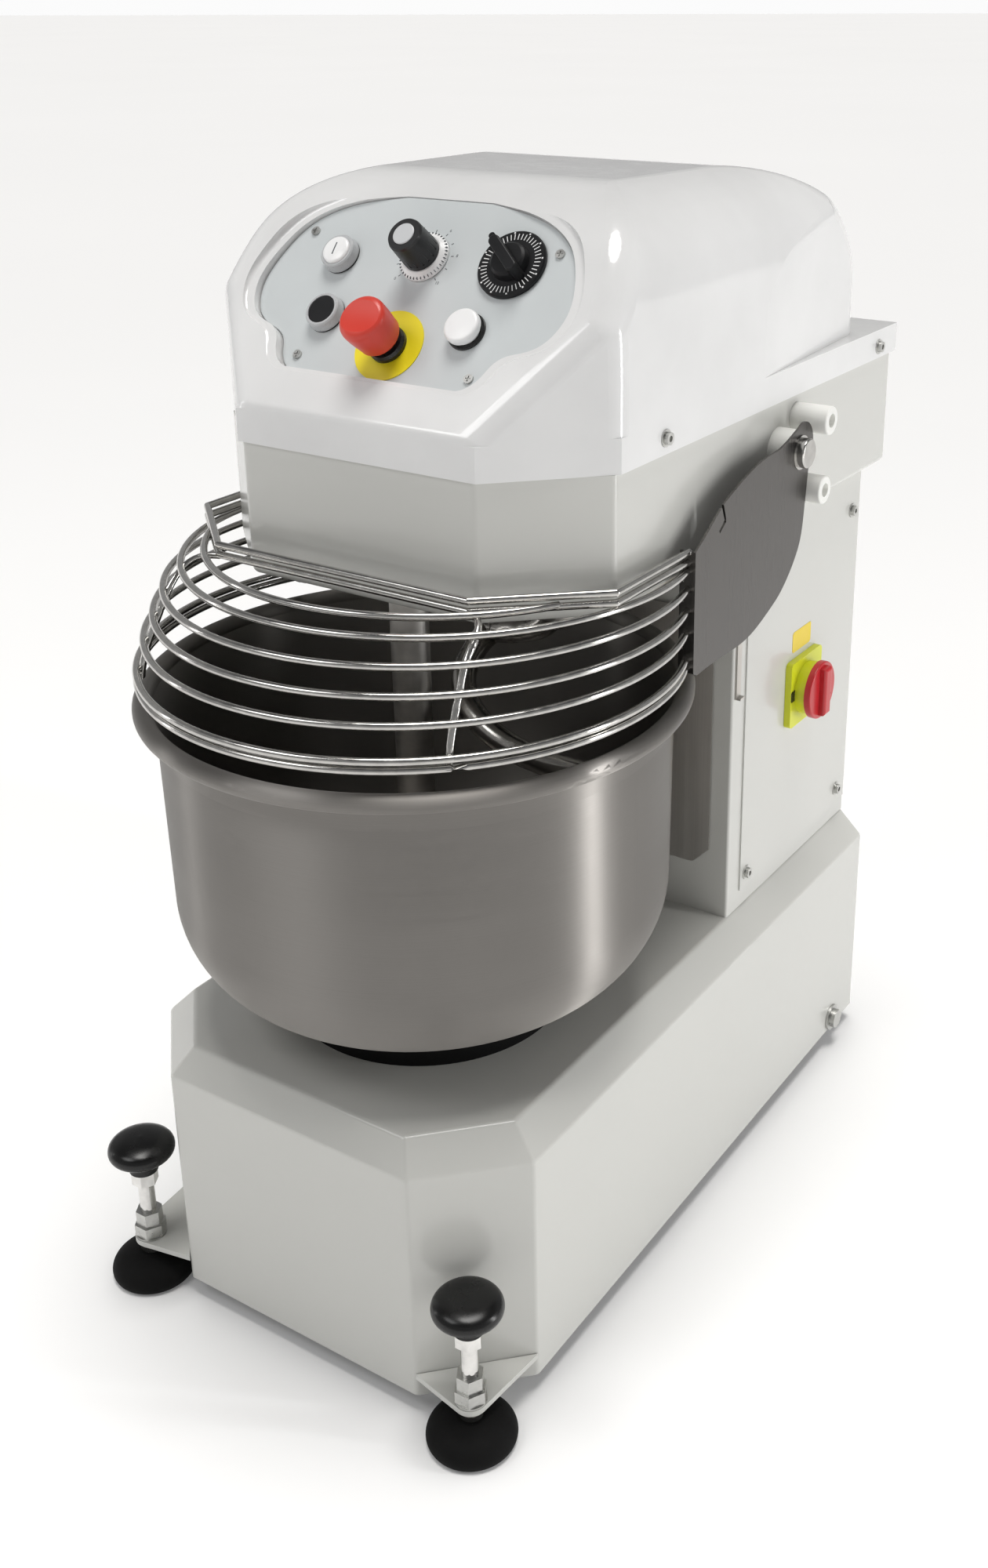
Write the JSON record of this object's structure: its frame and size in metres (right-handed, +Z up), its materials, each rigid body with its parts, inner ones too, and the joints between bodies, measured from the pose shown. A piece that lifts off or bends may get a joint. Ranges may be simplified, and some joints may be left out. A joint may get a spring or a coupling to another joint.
{
  "type": "commercial stand mixer",
  "caption": "Free-standing spiral dough mixer with fixed head, turning steel bowl, wire safety guard, control panel, levelling feet and wheels.",
  "frame": {"origin": "on the floor, under the centre of the overall box", "axes": "+Z up, +X to the right of a person facing the front, -Y towards that person (control panel and bowl side)"},
  "size_m": [0.456, 0.7503, 0.9403],
  "materials": {
    "white_coat": "gloss powder coat",
    "hood_white": "gloss",
    "panel_grey": "satin",
    "zinc": "zinc plated",
    "bezel_grey": "satin",
    "white_plastic": "gloss",
    "black_plastic": "matte",
    "red_plastic": "satin",
    "yellow_plastic": "satin",
    "brushed_bowl": "brushed round the axis",
    "brushed_plate": "brushed",
    "polished_wire": "polished stainless",
    "white_nylon": "satin",
    "black_rubber": "matte",
    "gloss_black": "gloss",
    "bright_steel": "turned",
    "cast_grey": "painted",
    "motor_alu": "die cast",
    "zinc_sheet": "zinc plated",
    "grey_wheel": "satin"
  },
  "bodies": {
    "frame": {"base_housing": "white_coat", "column_housing": "white_coat", "head_housing": "white_coat", "side_panel": "white_coat", "rear_panel": "white_coat", "foot_brackets": "white_coat", "head_cover": "hood_white", "control_plate": "panel_grey", "housing_screws": "zinc", "control_screws": "zinc", "rear_axle": "zinc", "foot_nuts": "zinc", "button_bezels": "bezel_grey", "contact_blocks": "black_plastic", "switch_body": "black_plastic", "cable_gland": "black_plastic", "inverter_box": "black_plastic", "estop_legend": "yellow_plastic", "switch_plate": "yellow_plastic", "splash_plate": "brushed_plate", "dough_divider": "polished_wire", "guard_bosses": "white_nylon", "guard_stops": "white_nylon", "bowl_seal": "black_rubber", "drive_belts": "black_rubber", "bowl_bearing": "cast_grey", "spiral_bearing": "cast_grey", "gearbox": "cast_grey", "motor_body": "motor_alu", "castor_beam": "zinc_sheet"},
    "bowl": {"bowl": "brushed_bowl", "bowl_shaft": "cast_grey"},
    "spiral": {"spiral_hook": "polished_wire", "spiral_shaft": "bright_steel"},
    "drive": {"drive_shaft": "bright_steel"},
    "rotor": {"motor_rotor": "bright_steel"},
    "guard": {"guard_wires": "polished_wire", "guard_plates": "brushed_plate", "guard_pins": "polished_wire"},
    "start": {"start_button": "white_plastic"},
    "stop": {"stop_button": "black_plastic"},
    "jog": {"jog_button": "white_plastic"},
    "estop": {"estop_stem": "black_plastic"},
    "estop_cap": {"estop_head": "red_plastic"},
    "speed": {"speed_dial": "white_plastic", "speed_knob": "black_plastic"},
    "timer": {"timer_dial": "black_plastic"},
    "main_switch": {"switch_handle": "red_plastic"},
    "foot_right": {"foot_pad_right": "black_rubber"},
    "spindle_right": {"foot_spindle_right": "bright_steel", "foot_knob_right": "gloss_black"},
    "foot_left": {"foot_pad_left": "black_rubber"},
    "spindle_left": {"foot_spindle_left": "bright_steel", "foot_knob_left": "gloss_black"},
    "castor_right": {"castor_fork_right": "zinc_sheet"},
    "castor_left": {"castor_fork_left": "zinc_sheet"},
    "castor_roller_right": {"castor_wheel_right": "grey_wheel"},
    "castor_roller_left": {"castor_wheel_left": "grey_wheel"},
    "rear_roller_right": {"rear_wheel_right": "grey_wheel"},
    "rear_roller_left": {"rear_wheel_left": "grey_wheel"}
  },
  "joints": [
    {"name": "bowl_spin", "type": "hinge", "parent": "frame", "child": "bowl", "pos_m": [0, -0.147, 0.288], "axis": [0, 0, 1], "continuous": true},
    {"name": "spiral_spin", "type": "hinge", "parent": "frame", "child": "spiral", "pos_m": [0.08, -0.066, 0.6], "axis": [0, 0, 1], "continuous": true},
    {"name": "drive_spin", "type": "hinge", "parent": "frame", "child": "drive", "pos_m": [0, 0.165, 0.5], "axis": [0, 0, 1], "continuous": true},
    {"name": "rotor_spin", "type": "hinge", "parent": "frame", "child": "rotor", "pos_m": [0, 0.262, 0.35], "axis": [0, 0, 1], "continuous": true},
    {"name": "guard_hinge", "type": "hinge", "parent": "frame", "child": "guard", "pos_m": [0, 0.1238, 0.7057], "axis": [-1, 0, 0], "range_deg": [0, 108]},
    {"name": "start_press", "type": "slide", "parent": "frame", "child": "start", "axis": [0, 0.766, -0.6428], "range_m": [0, 0.004], "stiffness_N_per_m": 600, "springref_m": -0.003},
    {"name": "stop_press", "type": "slide", "parent": "frame", "child": "stop", "axis": [0, 0.766, -0.6428], "range_m": [0, 0.004], "stiffness_N_per_m": 600, "springref_m": -0.003},
    {"name": "jog_press", "type": "slide", "parent": "frame", "child": "jog", "axis": [0, 0.766, -0.6428], "range_m": [0, 0.004], "stiffness_N_per_m": 600, "springref_m": -0.003},
    {"name": "estop_press", "type": "slide", "parent": "frame", "child": "estop", "axis": [0, 0.766, -0.6428], "range_m": [0, 0.005]},
    {"name": "estop_twist", "type": "hinge", "parent": "estop", "child": "estop_cap", "pos_m": [0, -0.17932, 0.83815], "axis": [0, -0.766, 0.6428], "range_deg": [-45, 0], "stiffness_Nm_per_rad": 0.05},
    {"name": "speed_turn", "type": "hinge", "parent": "frame", "child": "speed", "pos_m": [-0.001, -0.1145, 0.88428], "axis": [0, -0.766, 0.6428], "range_deg": [-135, 135]},
    {"name": "timer_turn", "type": "hinge", "parent": "frame", "child": "timer", "pos_m": [0.0806, -0.11411, 0.88474], "axis": [0, -0.766, 0.6428], "range_deg": [-300, 0]},
    {"name": "main_switch_turn", "type": "hinge", "parent": "frame", "child": "main_switch", "pos_m": [0.18, 0.2272, 0.443], "axis": [1, 0, 0], "range_deg": [0, 90]},
    {"name": "foot_right_lift", "type": "slide", "parent": "frame", "child": "foot_right", "axis": [0, 0, 1], "range_m": [-0.01, 0.003]},
    {"name": "foot_right_turn", "type": "hinge", "parent": "foot_right", "child": "spindle_right", "pos_m": [0.1757, -0.3385, 0.06], "axis": [0, 0, 1], "range_deg": [-1810, 550]},
    {"name": "castor_right_swivel", "type": "hinge", "parent": "frame", "child": "castor_right", "pos_m": [0.118, -0.232, 0.06], "axis": [0, 0, 1], "continuous": true},
    {"name": "castor_right_roll", "type": "hinge", "parent": "castor_right", "child": "castor_roller_right", "pos_m": [0.118, -0.214, 0.026], "axis": [1, 0, 0], "continuous": true},
    {"name": "rear_right_roll", "type": "hinge", "parent": "frame", "child": "rear_roller_right", "pos_m": [0.163, 0.2974, 0.0307], "axis": [1, 0, 0], "continuous": true},
    {"name": "foot_left_lift", "type": "slide", "parent": "frame", "child": "foot_left", "axis": [0, 0, 1], "range_m": [-0.01, 0.003]},
    {"name": "foot_left_turn", "type": "hinge", "parent": "foot_left", "child": "spindle_left", "pos_m": [-0.1757, -0.3385, 0.06], "axis": [0, 0, 1], "range_deg": [-1810, 550]},
    {"name": "castor_left_swivel", "type": "hinge", "parent": "frame", "child": "castor_left", "pos_m": [-0.118, -0.232, 0.06], "axis": [0, 0, 1], "continuous": true},
    {"name": "castor_left_roll", "type": "hinge", "parent": "castor_left", "child": "castor_roller_left", "pos_m": [-0.118, -0.214, 0.026], "axis": [1, 0, 0], "continuous": true},
    {"name": "rear_left_roll", "type": "hinge", "parent": "frame", "child": "rear_roller_left", "pos_m": [-0.163, 0.2974, 0.0307], "axis": [1, 0, 0], "continuous": true}
  ],
  "couplings": [
    {"joint": "spiral_spin", "follows": "bowl_spin", "ratio": 6.9087},
    {"joint": "drive_spin", "follows": "bowl_spin", "ratio": 6.9087},
    {"joint": "rotor_spin", "follows": "bowl_spin", "ratio": 69.087},
    {"joint": "foot_right_turn", "follows": "foot_right_lift", "rad_per_m": 3141.6},
    {"joint": "foot_left_turn", "follows": "foot_left_lift", "rad_per_m": 3141.6}
  ]
}
